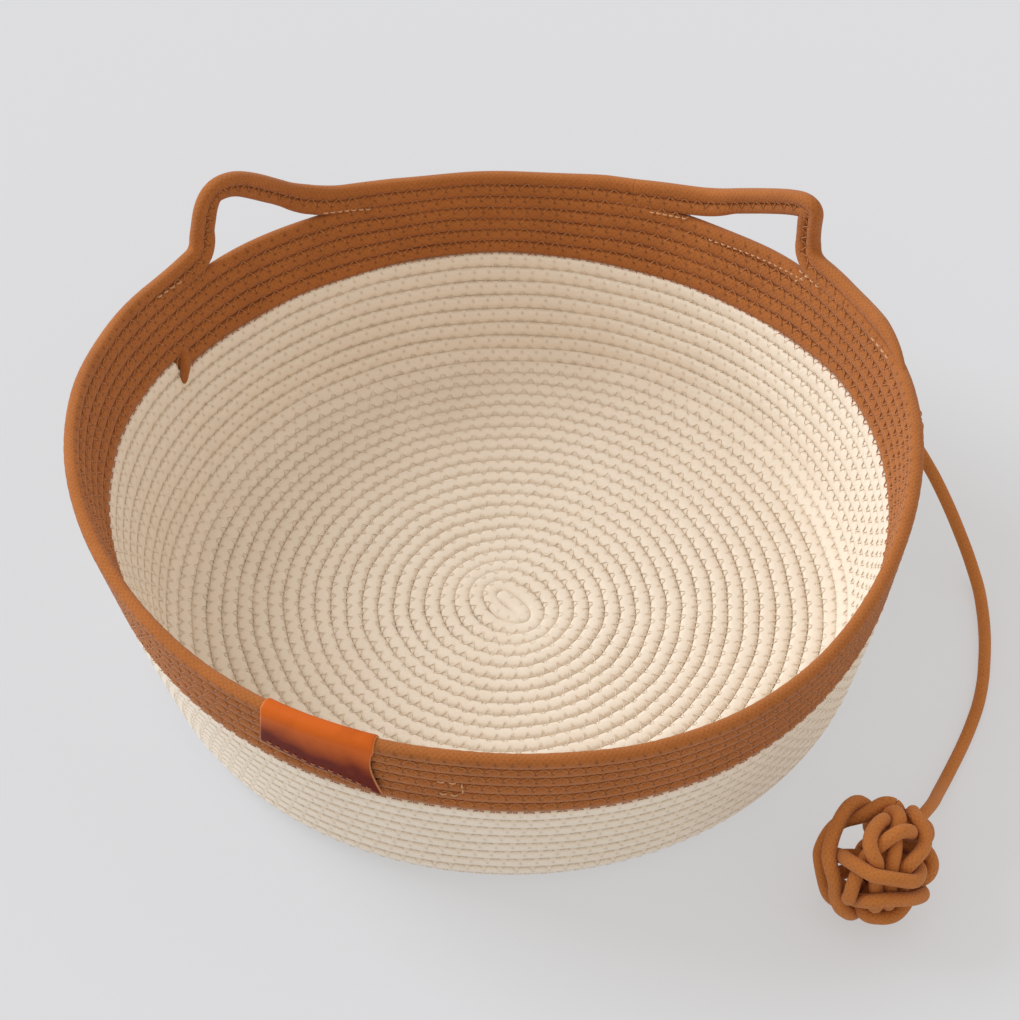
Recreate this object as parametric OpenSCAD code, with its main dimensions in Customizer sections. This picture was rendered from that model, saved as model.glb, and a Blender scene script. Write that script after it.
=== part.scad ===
// Round pet bed of coiled and sewn cotton rope: cream floor and wall, brown top band,
// two ear-shaped rope loops at the back, a folded leather tab at the front, and a rope
// ball on a cord. Millimetres, +Z up, origin at the centre of the underside.
// Angles are measured round +Z from +X, so the back of the bed is at 90 degrees.

/* [Rope] */
// Spacing of the cream rope's rows
row_pitch = 7.5; // [7:0.1:8]
// Spacing of the brown rope's rows
band_pitch = 7.0; // [6.8:0.1:7.5]
// How far neighbouring rows press into each other
squeeze = 0.3; // [0.1:0.05:0.4]
// Diameter of the sewing thread's ridge in a groove
thread_d = 1.4; // [0.8:0.1:1.4]

/* [Basket] */
// Rows in the flat floor
floor_rows = 20; // [18:1:22]
// Rows in the cream wall, with those that turn the corner
wall_rows = 10; // [9:1:11]
// Brown rows that run all the way round
band_rows = 5; // [4:1:6]
// Lean of the cream wall above the horizontal
wall_slope = 72; // [66:1:80]
// Lean of the brown band above the horizontal
band_slope = 76; // [70:1:82]

/* [Ears] */
// Where an ear's outer leg stands, round from the left or right side
ear_foot = 40; // [38:1:44]
// Height of an ear's top above the middle of the top row
ear_rise = 30; // [24:1:34]
// Lean of an ear above the horizontal
ear_slope = 80; // [74:1:86]

/* [Leather tab] */
// Middle of the tab
tab_mid = -115.5; // [-130:0.5:-100]
// Angle that the tab covers
tab_span = 17; // [14:1:20]
// Leather thickness
tab_t = 1.6; // [1.2:0.1:2.2]
// How far the tab hangs down outside
tab_drop = 33; // [24:1:36]

/* [Toy] */
// Cord diameter
cord_d = 6; // [5:0.5:7]
// Ball diameter
ball_d = 59; // [54:1:62]

/* [Hidden] */
$fn = 96;

cream_r = row_pitch / 2 + squeeze / 2;
brown_r = band_pitch / 2 + squeeze / 2;
thread_r = thread_d / 2;
// Degrees that the wall leans further with each row of the corner
turn = 22;
first_z = cream_r - squeeze;
// Radius of the doubled rope that fills the middle of the first turn
start_r = 1.6;
clearance = 0.02;
// Where the brown rope starts, round from the right side
tuck_angle = 149;
cream_n = floor_rows + wall_rows;
rim = cream_n + band_rows;
row_n = rim + 2;

// Lean of the step from row i to the next, and that step's length
function lean(i) = i < cream_n - 1
    ? min(wall_slope, max(0, turn * (i - floor_rows + 1)))
    : band_slope;
function gap(i) = i < cream_n - 1 ? row_pitch
    : i == cream_n - 1 ? (row_pitch + band_pitch) / 2
    : band_pitch;

// Middle of each row as [radius, height], from the centre of the floor to the top
rows = [for (i = 0, p = [row_pitch / 2, first_z]; i < row_n;
             p = p + gap(i) * [cos(lean(i)), sin(lean(i))], i = i + 1) p];
function row_r(i) = i < cream_n ? cream_r : brown_r;

// Middle of the thread in the groove between row i and the next, on one face
function nestle(i) = sqrt(pow(row_r(i) + thread_r, 2) - pow(gap(i) / 2, 2)) + clearance;
function groove(i, side) = (rows[i] + rows[i + 1]) / 2
    + side * nestle(i) * [-sin(lean(i)), cos(lean(i))];

// Rows first to last as one outline, without row last + 1 or row first - 1
module row_outline(first, last) {
    intersection() {
        difference() {
            for (i = [first : last]) translate(rows[i]) circle(row_r(i));
            if (first > 0) translate(rows[first - 1]) circle(row_r(first - 1));
        }
        translate([start_r / 2, 0])
            square(2 * rows[row_n - 1][0]);
    }
}

module coil(first, last, from = 0, to = 360) {
    rotate([0, 0, from]) rotate_extrude(angle = to - from) row_outline(first, last);
}

module seam(first, last, from = 0, to = 360) {
    for (i = [first : last], side = [-1, 1])
        rotate([0, 0, from]) rotate_extrude(angle = to - from)
            translate(groove(i, side)) circle(thread_r, $fn = 6);
}

// Tube along a list of points, with one radius for each point
function unit(v) = v / norm(v);
function along(pts, i) = unit(pts[min(i + 1, len(pts) - 1)] - pts[max(i - 1, 0)]);
function side_of(t) = unit(cross(t, abs(t[2]) < 0.9 ? [0, 0, 1] : [1, 0, 0]));
module tube(pts, radii, sides = 10) {
    n = len(pts);
    ring_points = [for (i = [0 : n - 1])
        let (t = along(pts, i), u = side_of(t), v = cross(t, u))
        for (j = [0 : sides - 1])
            pts[i] + radii[i] * (cos(360 * j / sides) * u + sin(360 * j / sides) * v)];
    walls = [for (i = [0 : n - 2], j = [0 : sides - 1])
        [i * sides + j, i * sides + (j + 1) % sides,
         (i + 1) * sides + (j + 1) % sides, (i + 1) * sides + j]];
    start_cap = [[for (j = [sides - 1 : -1 : 0]) j]];
    end_cap = [[for (j = [0 : sides - 1]) (n - 1) * sides + j]];
    polyhedron(ring_points, concat(walls, start_cap, end_cap));
}

// Smooth curve through a list of points
function spline_at(p, i, t) =
    let (a = p[max(i - 1, 0)], b = p[i], c = p[i + 1], d = p[min(i + 2, len(p) - 1)])
    0.5 * ((2 * b) + (c - a) * t + (2 * a - 5 * b + 4 * c - d) * t * t
        + (3 * b - a - 3 * c + d) * t * t * t);
function spline(p, steps) = concat(
    [for (i = [0 : len(p) - 2], s = [0 : steps - 1]) spline_at(p, i, s / steps)],
    [p[len(p) - 1]]);

// Angles at which an ear's strands leave the front row and join the back rows
ear_start = ear_foot - 9;
ear_end = ear_foot + 30;
// The upper strand's middle line as [angle round from the side, height above its own row].
// The outer leg stands nearly upright, and the top runs down to the rim at the back.
ear_line = [[ear_start, 0], [ear_foot - 4, 0], [ear_foot - 1, 1.5], [ear_foot, 9],
    [ear_foot + 0.8, ear_rise * 0.6], [ear_foot + 3, ear_rise * 0.92],
    [ear_foot + 6, ear_rise], [ear_foot + 10, ear_rise * 0.86],
    [ear_foot + 15, ear_rise * 0.52], [ear_foot + 20, ear_rise * 0.2],
    [ear_end - 5, 1], [ear_end, 0]];
rim_top = rows[row_n - 1];
function on_rim(angle, height) =
    let (r = rim_top[0] + height / tan(height < 0 ? band_slope : ear_slope))
    [r * cos(angle), r * sin(angle), rim_top[1] + height];
mm_per_degree = rim_top[0] * PI / 180;

// The strand that lies inward from the ear's upper strand by the given distance
function flat_line() = [for (p = spline(ear_line, 5)) [p[0] * mm_per_degree, p[1]]];
function inward(line, d) = [for (i = [0 : len(line) - 1])
    let (t = unit(line[min(i + 1, len(line) - 1)] - line[max(i - 1, 0)]))
    line[i] + d * [t[1], -t[0]]];
function strand(d) = [for (q = inward(flat_line(), d))
    on_rim(q[0] / mm_per_degree, q[1])];
// Before the ear the upper strand thins out over the front row
tail_rings = 6;
tail_angle = 9;
function tail_share(k) = 0.45 + 0.55 * k / tail_rings;
ear_tail = [for (k = [0 : tail_rings - 1])
    on_rim(ear_start - tail_angle * (1 - k / tail_rings), (tail_share(k) - 1) * brown_r)];

module right_ear_outer() {
    up = strand(0);
    tube(concat(ear_tail, up),
         concat([for (k = [0 : tail_rings - 1]) tail_share(k) * brown_r],
                [for (q = up) brown_r]));
}
module right_ear_inner() {
    down = strand(band_pitch);
    tube(down, [for (q = down) brown_r]);
}
module right_ear_threads() {
    middle = strand(band_pitch / 2);
    sewn = [for (i = [8 : len(middle) - 8]) middle[i]];
    proud = brown_r - thread_r + 0.25;
    for (side = [-1, 1])
        tube([for (q = sewn) q + side * proud * unit([q[0], q[1], 0])],
             [for (q = sewn) thread_r], 6);
}
module mirror_ear() { mirror([1, 0, 0]) children(); }

// A short stitch lying across the rope at an angle and height on the rim
module cross_stitch(angle, height, length) {
    p = on_rim(angle, height);
    rotate([0, 0, angle]) translate([norm([p[0], p[1]]) - brown_r, 0, p[2]])
        rotate([0, -(90 - band_slope), 0])
            cylinder(h = length, r = thread_r * 0.7, center = true, $fn = 16);
}

tab_reach = brown_r + 0.3;
// Folded leather in a plane through the axis: over the top row and down both sides
module tab_outline() {
    outer = tab_reach + tab_t;
    translate(rows[rim]) rotate(band_slope - 90) {
        difference() {
            circle(outer);
            circle(tab_reach);
            translate([-outer, -2 * outer]) square(2 * outer);
        }
        for (x = [-outer, tab_reach]) translate([x, -tab_drop]) square([tab_t, tab_drop]);
    }
}

// Route of the cord: down from the loop on the wall, along the ground, up into the ball
cord_route = [[192, 48, 80], [192, 48, 74], [193.4, 47, 66], [198.5, 44, 57.5],
    [204, 39.5, 49], [208.8, 35, 40.5], [213.2, 30.5, 32], [217.2, 26, 23.5],
    [221, 21.5, 15], [224, 16.5, 8], [226.2, 9.5, 4.2], [227.3, 0.5, 3.1],
    [227.8, -12, 3.1], [227.6, -25, 3.1], [226.6, -38, 3.1], [225, -51, 3.1],
    [222, -65, 3.1], [217.5, -79, 3.1], [212.5, -92, 3.2], [207.5, -104, 4.2],
    [202.8, -116, 7], [199, -127, 12], [196, -137, 18], [192, -147, 24],
    [186.5, -156.5, 27.5], [180, -164.5, 29]];
ball_centre = [165, -184, ball_d / 2];
// Loop of thread round the cord: ring radius, half its thickness, height, and inner end
loop_t = 1.5;
loop_r = cord_d / 2 + loop_t + 0.8;
loop_z = 74;
loop_root = 185;
knot_r = 4.6;

// The rope's start, doubled back on itself, fills the middle of the first turn
module floor_coil() {
    color("antiquewhite") {
        coil(0, floor_rows - 1);
        cylinder(h = first_z + cream_r * 0.7, r = start_r);
    }
}
module floor_seam() { color("tan") seam(0, floor_rows - 2); }
module wall_coil() { color("antiquewhite") coil(floor_rows, cream_n - 1); }
module wall_seam() { color("tan") seam(floor_rows - 1, cream_n - 2); }
module band_coil() { color("saddlebrown") coil(cream_n, rim - 1); }
module band_seam() { color("sienna") seam(cream_n - 1, rim - 1); }
// The brown rope's tapered start, stitched down over the cream rope inside the wall
module band_start_tail() {
    low = groove(cream_n - 4, 1);
    tail_r = 2.4;
    tail_l = 2.4 * row_pitch;
    color("saddlebrown") rotate([0, 0, tuck_angle]) translate([low[0], 0, low[1]])
        rotate([0, 90 - wall_slope, 0]) {
            cylinder(h = tail_l, r1 = 0.9, r2 = tail_r, $fn = 32);
            translate([0, 0, tail_l]) sphere(r = tail_r, $fn = 32);
        }
}
module rim_front_row() {
    color("peru") coil(rim, rim, 180 - ear_start, 360 + ear_start);
}
module rim_back_rows() {
    color("peru") coil(rim, rim + 1, ear_end, 180 - ear_end);
}
module rim_back_seam() {
    color("sienna") seam(rim, rim, ear_end + 0.5, 179.5 - ear_end);
}
module left_ear_outer_rope() { color("peru") mirror_ear() right_ear_outer(); }
module left_ear_inner_rope() { color("peru") mirror_ear() right_ear_inner(); }
module left_ear_seam() { color("sienna") mirror_ear() right_ear_threads(); }
module right_ear_outer_rope() { color("peru") right_ear_outer(); }
module right_ear_inner_rope() { color("peru") right_ear_inner(); }
module right_ear_seam() { color("sienna") right_ear_threads(); }
// Five short stitches in a row at the same place on each side of the bed
module tacks(angle) {
    step = 1.4;
    color("tan") for (k = [0 : 4], flip = [0, 1]) mirror([flip, 0, 0])
        cross_stitch(angle + k * step, -band_pitch / 2, band_pitch * 0.9);
}
module ear_foot_tacks() { tacks(ear_start + 1); }
module ear_merge_tacks() { tacks(ear_end + 1); }
module leather_tab() {
    color("chocolate") rotate([0, 0, tab_mid - tab_span / 2])
        rotate_extrude(angle = tab_span) tab_outline();
}
// One row of stitches along the tab's lower edge, lying on the leather
module tab_stitching() {
    count = 12;
    stitch_l = 2.8;
    stitch_r = 0.45;
    inset = 3;
    color("tan") for (k = [0 : count - 1])
        rotate([0, 0, tab_mid + 0.9 * tab_span * ((k + 0.5) / count - 0.5)])
            translate([rows[rim][0], 0, rows[rim][1]]) rotate([0, 90 - band_slope, 0])
                translate([tab_reach + tab_t, 0, inset - tab_drop]) rotate([90, 0, 0])
                    cylinder(h = stitch_l, r = stitch_r, center = true, $fn = 16);
}
// Thread loop on the wall that the toy's cord hangs in
module hanger_loop() {
    hook = [cord_route[0][0], cord_route[0][1]];
    bore_r = loop_r - loop_t + 0.4;
    color("saddlebrown") translate([0, 0, loop_z]) {
        translate([hook[0], hook[1], 0]) rotate_extrude() difference() {
            translate([loop_r, 0]) circle(loop_t);
            translate([0, -loop_t]) square([bore_r, 2 * loop_t]);
        }
        rotate([0, 0, atan2(hook[1], hook[0])]) translate([loop_root, 0, 0]) rotate([0, 90, 0])
            cylinder(h = norm(hook) - loop_root - loop_r, r = loop_t - 0.25);
    }
}
// Stopper knot in the cord's end, above the loop
module cord_knot() {
    color("saddlebrown") translate(cord_route[0] + [0, 0, knot_r / 2]) sphere(r = knot_r);
}
module toy_cord() {
    line = spline(cord_route, 2);
    color("saddlebrown") tube(line, [for (q = line) cord_d / 2], 10);
}
module toy_ball() { color("peru") translate(ball_centre) sphere(d = ball_d); }

floor_coil();
floor_seam();
wall_coil();
wall_seam();
band_coil();
band_seam();
band_start_tail();
rim_front_row();
rim_back_rows();
rim_back_seam();
left_ear_outer_rope();
left_ear_inner_rope();
left_ear_seam();
right_ear_outer_rope();
right_ear_inner_rope();
right_ear_seam();
ear_foot_tacks();
ear_merge_tacks();
leather_tab();
tab_stitching();
hanger_loop();
cord_knot();
toy_cord();
toy_ball();
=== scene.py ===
"""Looks of a round pet bed of coiled and sewn cotton rope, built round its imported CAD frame.

Lengths inside the rope functions are millimetres and angles degrees round +Z from +X; meshes
are made in metres. A place on the bed is (angle, w): w is the distance from the centre of the
floor, measured along the floor and up the wall."""

import math

import bpy
import numpy as np
from mathutils import Matrix, Vector


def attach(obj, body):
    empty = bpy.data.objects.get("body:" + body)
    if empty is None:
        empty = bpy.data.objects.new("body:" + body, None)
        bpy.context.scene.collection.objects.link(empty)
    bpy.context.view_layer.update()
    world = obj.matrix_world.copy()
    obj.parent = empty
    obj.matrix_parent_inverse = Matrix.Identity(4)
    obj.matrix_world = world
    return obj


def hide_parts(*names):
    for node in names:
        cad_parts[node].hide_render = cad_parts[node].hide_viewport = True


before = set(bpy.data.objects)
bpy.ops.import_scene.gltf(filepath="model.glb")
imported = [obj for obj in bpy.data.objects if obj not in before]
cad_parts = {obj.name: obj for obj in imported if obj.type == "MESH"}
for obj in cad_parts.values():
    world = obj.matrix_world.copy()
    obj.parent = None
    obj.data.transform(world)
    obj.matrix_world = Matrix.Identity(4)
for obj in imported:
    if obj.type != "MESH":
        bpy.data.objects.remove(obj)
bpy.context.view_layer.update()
MM = 0.001
rng = np.random.default_rng(7)

# ---------------------------------------------------------------- camera


def add_camera():
    """The photograph's view: from the front, looking down."""
    elevation, pitch, roll = math.radians(48.416), math.radians(1.002), math.radians(-0.219)
    data = bpy.data.cameras.new("camera")
    data.sensor_width = 36
    data.lens = 180.32
    camera = bpy.data.objects.new("camera", data)
    turn = (Matrix.Rotation(math.pi / 2 - elevation, 3, "X")
            @ Matrix.Rotation(pitch, 3, "X") @ Matrix.Rotation(-roll, 3, "Z"))
    camera.matrix_world = Matrix.Translation((0.00013, -1.6341, 1.8451)) @ turn.to_4x4()
    bpy.context.scene.collection.objects.link(camera)
    bpy.context.scene.camera = camera


add_camera()

# ---------------------------------------------------------------- mesh helpers


def mesh_object(name, verts, quads, uv=None, layers=None):
    """A smooth object from points in millimetres, four-cornered faces, and a value per corner."""
    mesh = bpy.data.meshes.new(name)
    mesh.vertices.add(len(verts))
    mesh.vertices.foreach_set("co", (np.asarray(verts) * MM).astype(np.float32).ravel())
    mesh.loops.add(quads.size)
    mesh.loops.foreach_set("vertex_index", quads.astype(np.int32).ravel())
    mesh.polygons.add(len(quads))
    mesh.polygons.foreach_set("loop_start", np.arange(0, quads.size, 4, dtype=np.int32))
    mesh.update(calc_edges=True)
    if uv is not None:
        mesh.uv_layers.new(name="rope").uv.foreach_set("vector", uv.astype(np.float32).ravel())
    for label, values in (layers or {}).items():
        layer = mesh.attributes.new(label, "FLOAT", "POINT")
        layer.data.foreach_set("value", values.astype(np.float32).ravel())
    mesh.polygons.foreach_set("use_smooth", np.ones(len(quads), bool))
    mesh.validate()
    piece = bpy.data.objects.new(name, mesh)
    bpy.context.scene.collection.objects.link(piece)
    return piece


def tube_quads(rings, sides):
    """Faces of a closed tube, with both ends closed by strips across them."""
    i, j = np.meshgrid(np.arange(rings - 1), np.arange(sides), indexing="ij")
    k = (j + 1) % sides
    wall = np.stack([i * sides + j, i * sides + k, (i + 1) * sides + k, (i + 1) * sides + j], -1)
    a = np.arange(sides // 2 - 1)
    cap = np.stack([a, a + 1, sides - 2 - a, sides - 1 - a], -1)
    start = cap[:, ::-1]
    end = cap + (rings - 1) * sides
    return np.concatenate([wall.reshape(-1, 4), start, end])


def tube_uv(along, sides):
    """Texture place of every face corner: distance along the tube, and share of the way round."""
    rings = len(along)
    i, j = np.meshgrid(np.arange(rings - 1), np.arange(sides), indexing="ij")
    corner = [(i, j), (i, j + 1), (i + 1, j + 1), (i + 1, j)]
    wall = np.stack([np.stack([along[a], b / sides], -1) for a, b in corner], 2).reshape(-1, 2)
    a = np.arange(sides // 2 - 1)
    cap = np.stack([a, a + 1, sides - 2 - a, sides - 1 - a], -1) / sides
    start = np.stack([np.full(cap.size, along[0]), cap[:, ::-1].ravel()], -1)
    end = np.stack([np.full(cap.size, along[-1]), cap.ravel()], -1)
    return np.concatenate([wall, start, end])


def unit(v):
    return v / np.maximum(np.linalg.norm(v, axis=-1, keepdims=True), 1e-9)


def arc_length(points):
    return np.concatenate([[0], np.cumsum(np.linalg.norm(np.diff(points, axis=0), axis=1))])


def spline(points, steps):
    """Smooth curve through given points."""
    p = np.asarray(points, float)
    p = np.vstack([2 * p[0] - p[1], p, 2 * p[-1] - p[-2]])
    t = (np.arange(steps) / steps)[:, None]
    out = [0.5 * (2 * b + (c - a) * t + (2 * a - 5 * b + 4 * c - d) * t**2
                  + (3 * b - a - 3 * c + d) * t**3)
           for a, b, c, d in zip(p, p[1:], p[2:], p[3:])]
    return np.vstack(out + [p[-2:-1]])


def even(points, step):
    """The same line with points an even distance apart."""
    s = arc_length(points)
    n = max(2, int(round(s[-1] / step)) + 1)
    want = np.linspace(0, s[-1], n)
    return np.stack([np.interp(want, s, points[:, i]) for i in range(points.shape[1])], -1)


def carried_frames(points):
    """Tangent and two cross directions along a free line, carried along with no twist."""
    tangent = unit(np.gradient(points, axis=0))
    side = np.zeros_like(points)
    first = np.cross(tangent[0], [0, 0, 1.0])
    if np.linalg.norm(first) < 0.1:
        first = np.cross(tangent[0], [1.0, 0, 0])
    side[0] = unit(first)
    for i in range(1, len(points)):
        s = side[i - 1] - tangent[i] * np.dot(side[i - 1], tangent[i])
        side[i] = s / np.linalg.norm(s)
    return tangent, side, np.cross(tangent, side)


def round_end(distance, radius):
    """Share of full thickness at a distance from a rope's round end."""
    return np.sqrt(np.clip(1 - (1 - np.clip(distance / radius, 0, 1)) ** 2, 0.02, 1))


def rope_tube(name, points, radius, sides=12, taper=None, start=0.0):
    """A round rope along a free line."""
    tangent, side, up = carried_frames(points)
    s = arc_length(points)
    share = round_end(np.minimum(s, s[-1] - s), radius) if taper is None else taper
    v = 2 * np.pi * np.arange(sides) / sides
    ring = (np.cos(v)[None, :, None] * side[:, None] + np.sin(v)[None, :, None] * up[:, None])
    verts = points[:, None] + radius * share[:, None, None] * ring
    return mesh_object(name, verts.reshape(-1, 3), tube_quads(len(points), sides),
                       tube_uv(s + start, sides))


# ---------------------------------------------------------------- toy cord

CORD_ROUTE = [(0.192, 0.048, 0.080), (0.192, 0.048, 0.074), (0.1934, 0.047, 0.066),
              (0.1985, 0.044, 0.0575), (0.204, 0.0395, 0.049), (0.2088, 0.035, 0.0405),
              (0.2132, 0.0305, 0.032), (0.2172, 0.026, 0.0235), (0.221, 0.0215, 0.015),
              (0.224, 0.0165, 0.008), (0.2262, 0.0095, 0.0042), (0.2273, 0.0005, 0.0031),
              (0.2278, -0.012, 0.0031), (0.2276, -0.025, 0.0031), (0.2266, -0.038, 0.0031),
              (0.225, -0.051, 0.0031), (0.222, -0.065, 0.0031), (0.2175, -0.079, 0.0031),
              (0.2125, -0.092, 0.0032), (0.2075, -0.104, 0.0042), (0.2028, -0.116, 0.007),
              (0.199, -0.127, 0.012), (0.196, -0.137, 0.018), (0.192, -0.147, 0.024),
              (0.1865, -0.1565, 0.0275), (0.180, -0.1645, 0.029)]
CORD_R = 3.0


def toy_cord():
    line = even(spline(np.array(CORD_ROUTE) / MM, 8), 1.2)
    cord = rope_tube("toy_cord_rope", line, CORD_R, 14)
    return cord, line * MM


cord, cord_line = toy_cord()

# ---------------------------------------------------------------- shape of the bed

ROW = 7.5            # spacing of the cream rope's rows
FLOOR_Z = 3.9        # height of the floor rope's middle
CORNER = 20.12 * ROW         # where the floor starts to turn up
CORNER_L = 3.10 * ROW        # length of that turn
WALL_LEAN, BAND_LEAN = 71.6, 74.0
BAND_FROM = 29 * ROW         # where the wall's lean changes to the band's
BAND_TURN = 2 * ROW          # length of that change
EARS_FROM = 275.0            # past this place the ears stand upright
EARS_TURN = 3.0              # length of that change
RIM_W = 36 * ROW             # about the top of the rim
SPLICE_ANGLE = 149.0         # where the brown rope takes over from the cream one
SPLICE = 30.08               # in turns from the centre
FLOOR_END = 20.0             # in turns from the centre, where the floor piece ends
FOLD_ANGLE = -52.0           # direction in which the doubled-back first turns are long
SPREAD_FROM = 60             # nearer the middle than this, rows keep their own width
PRESS = 0.1                  # how far a brown rope presses into the next one

W_STEP = 0.25
W_TABLE = np.arange(0, 330, W_STEP)
LEAN_TABLE = np.radians(np.clip((W_TABLE - CORNER) / CORNER_L, 0, 1) * WALL_LEAN
                        + np.clip((W_TABLE - BAND_FROM) / BAND_TURN, 0, 1) * (BAND_LEAN - WALL_LEAN)
                        + np.clip((W_TABLE - EARS_FROM) / EARS_TURN, 0, 1) * (90 - BAND_LEAN))
R_TABLE = np.concatenate([[0], np.cumsum(np.cos(LEAN_TABLE[:-1]) * W_STEP)])
Z_TABLE = np.concatenate([[0], np.cumsum(np.sin(LEAN_TABLE[:-1]) * W_STEP)]) + FLOOR_Z
RIM_Z = float(np.interp(RIM_W, W_TABLE, Z_TABLE))


def settle(p):
    """The bed's soft sides stand a little out of true: more so towards the rim."""
    x, y, z = p[..., 0], p[..., 1], p[..., 2]
    share = np.clip((z - FLOOR_Z) / (RIM_Z - FLOOR_Z), 0, 1)
    a = np.arctan2(y, x)
    stretch = 1 + share * (0.0077 * np.cos(2 * a) - 0.0017 * np.sin(2 * a) - 0.0097 * np.cos(3 * a)
                           + 0.0094 * np.sin(3 * a) + 0.0024 * np.cos(4 * a))
    lift = (-0.5 * np.cos(a) - 6.9 * np.sin(a) + 4.2 * np.cos(2 * a) + 0.6 * np.sin(2 * a)
            + 1.9 * np.cos(3 * a) + 2.0 * np.sin(3 * a) + 3.6 * np.cos(4 * a) + 0.5 * np.sin(4 * a))
    return np.stack([x * stretch - 6.1 * share + 0.4, y * stretch + 12.1 * share - 6.0,
                     z + share * lift], -1)


def wander(angle, w):
    """Slow unevenness of hand-guided rows, the same for a rope and the thread beside it."""
    a = np.radians(angle)
    near = np.clip(w / 60, 0, 1)
    return near * (0.28 * np.sin(5 * a + w / 19) + 0.22 * np.sin(11 * a - w / 13 + 1.0)
                   + 0.16 * np.sin(23 * a + w / 7 + 2.0))


def on_bed(angle, w):
    """Points and inward normals of the bed's middle surface."""
    w = w + wander(angle, w)
    a = np.radians(angle)
    r, z, lean = (np.interp(w, W_TABLE, values) for values in (R_TABLE, Z_TABLE, LEAN_TABLE))
    p = np.stack([r * np.cos(a), r * np.sin(a), z], -1)
    n = np.stack([-np.sin(lean) * np.cos(a), -np.sin(lean) * np.sin(a), np.cos(lean)], -1)
    # the rope starts doubled back on itself, so the first turns are long and narrow
    fold = np.radians(FOLD_ANGLE)
    stretch = 6.5 * np.exp(-(w / 22) ** 2) + 4 * np.exp(-(w / 2) ** 2)
    toward = np.cos(a - fold) * stretch
    p[..., 0] += toward * np.cos(fold)
    p[..., 1] += toward * np.sin(fold)
    return settle(p), n


def bump(a, height, middle, width):
    """A flat-topped rise over part of the way round."""
    return height * np.exp(-((a - middle) / width) ** 4)


def brown_pitch(angle):
    """The brown rows are pressed closer together at the back than at the front, and spread
    wider where they stand free under the two ears."""
    a = (angle + 180) % 360 - 180
    ears = bump(a, 1.08, 54, 19.5) + bump(a, 0.98, 125.5, 15.5)
    return 6.74 - 0.22 * np.sin(np.radians(a)) + ears - bump(a, 0.15, 92, 14)


def bed_w(turn, angle):
    """Place w, at an angle, of the rope after a number of turns round the bed."""
    cream = ROW * turn - 0.95 * np.exp(-(turn / 2.2) ** 2)
    over = turn - SPLICE
    brown = ROW * SPLICE - 0.1 + 0.25 * np.clip(over, 0, 1) + brown_pitch(angle) * over
    return np.where(over < 0, cream, brown)


def spread(angle, w):
    """How much farther apart than ROW or brown_pitch the settled bed's rows lie at a place."""
    step = on_bed(angle, w + 0.5)[0] - on_bed(angle, w - 0.5)[0]
    return np.where(w > SPREAD_FROM, np.maximum(np.linalg.norm(step, axis=-1), 1), 1)


def turn_angle(turn):
    return SPLICE_ANGLE + 360 * (SPLICE - 1 - turn)


def turn_at(lap, angle):
    """Turns from the centre where the brown rope's numbered lap passes an angle."""
    return SPLICE + lap + (SPLICE_ANGLE - angle) / 360


def line_length(beside):
    """Length, turn by turn, of a line that runs a share of a row outside the rope."""
    points = on_bed(turn_angle(TURN_TABLE), bed_w(TURN_TABLE + beside, turn_angle(TURN_TABLE)))[0]
    return arc_length(points)


TURN_TABLE = np.linspace(0, 38, 38 * 180 + 1)
LENGTH_TABLE = line_length(0)
GROOVE_TABLE = line_length(0.5)


def length_at(turn):
    return np.interp(turn, TURN_TABLE, LENGTH_TABLE)


def even_turns(first, last, step):
    a, b = length_at(first), length_at(last)
    n = int(round((b - a) / step)) + 1
    return np.interp(np.linspace(a, b, n), LENGTH_TABLE, TURN_TABLE)


STITCH = 7.4         # length of one zig and zag


def stitch_phase(turn):
    """Stitches sewn from the centre up to this place in the groove outside the rope."""
    return np.interp(turn, TURN_TABLE, GROOVE_TABLE) / STITCH


# ---------------------------------------------------------------- rope

RING = STITCH / 8
SIDES = 16
DENT = 0.04          # how far a needle hole pulls the rope in, as a share of its radius
RING_ANGLES = 2 * np.pi * np.arange(SIDES) / SIDES


def squared(half_w, half_t, power):
    """Cross-section of a rope pressed between its neighbours: half width, half thickness."""
    c, s = np.cos(RING_ANGLES), np.sin(RING_ANGLES)
    rho = (np.abs(c) ** power + np.abs(s) ** power) ** (-1 / power)
    return half_w * rho * c, half_t * rho * s


def dent(phase, at, v_at, wide=0.15, high=22):
    """1 in the middle of each needle hole on one side of the rope, falling off round it."""
    off = (phase - at + 0.5) % 1 - 0.5
    turn = (np.degrees(RING_ANGLES)[None, :] - v_at + 180) % 360 - 180
    return np.exp(-(off[:, None] / wide) ** 2) * np.exp(-(turn / high) ** 2)


def rope_piece(name, points, normals, half_w, half_t, dents, share=None, along=0.0, power=2.5):
    """A rope laid on the bed, dented where the needle went through."""
    tangent = unit(np.gradient(points, axis=0))
    across = unit(np.cross(normals, tangent))
    up = np.cross(tangent, across)
    x, y = squared(1.0, half_t, power)
    sunk = np.zeros((len(points), SIDES))
    for weight, field in dents:
        sunk = np.maximum(sunk, np.reshape(weight, (-1, 1)) * field)
    scale = (1 - DENT * sunk) * (1 if share is None else share[:, None])
    wide = scale * x * np.reshape(half_w, (-1, 1))
    verts = points[:, None] + wide[..., None] * across[:, None] + (scale * y)[..., None] * up[:, None]
    s = arc_length(points)
    # sunk shapes the needle holes, and the material also paints shade there
    return mesh_object(name, verts.reshape(-1, 3), tube_quads(len(points), SIDES),
                       tube_uv(s + along, SIDES), {"sunk": sunk})


# How far round the rope from a groove its needle holes are: the rope inside the groove is
# pierced further from it, and deeper, than the rope outside
LOW_HOLE, HIGH_HOLE = 66, 52
INNER_DEPTH = 0.65       # depth of the holes beside the inner groove, next to 1 for the outer


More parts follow.
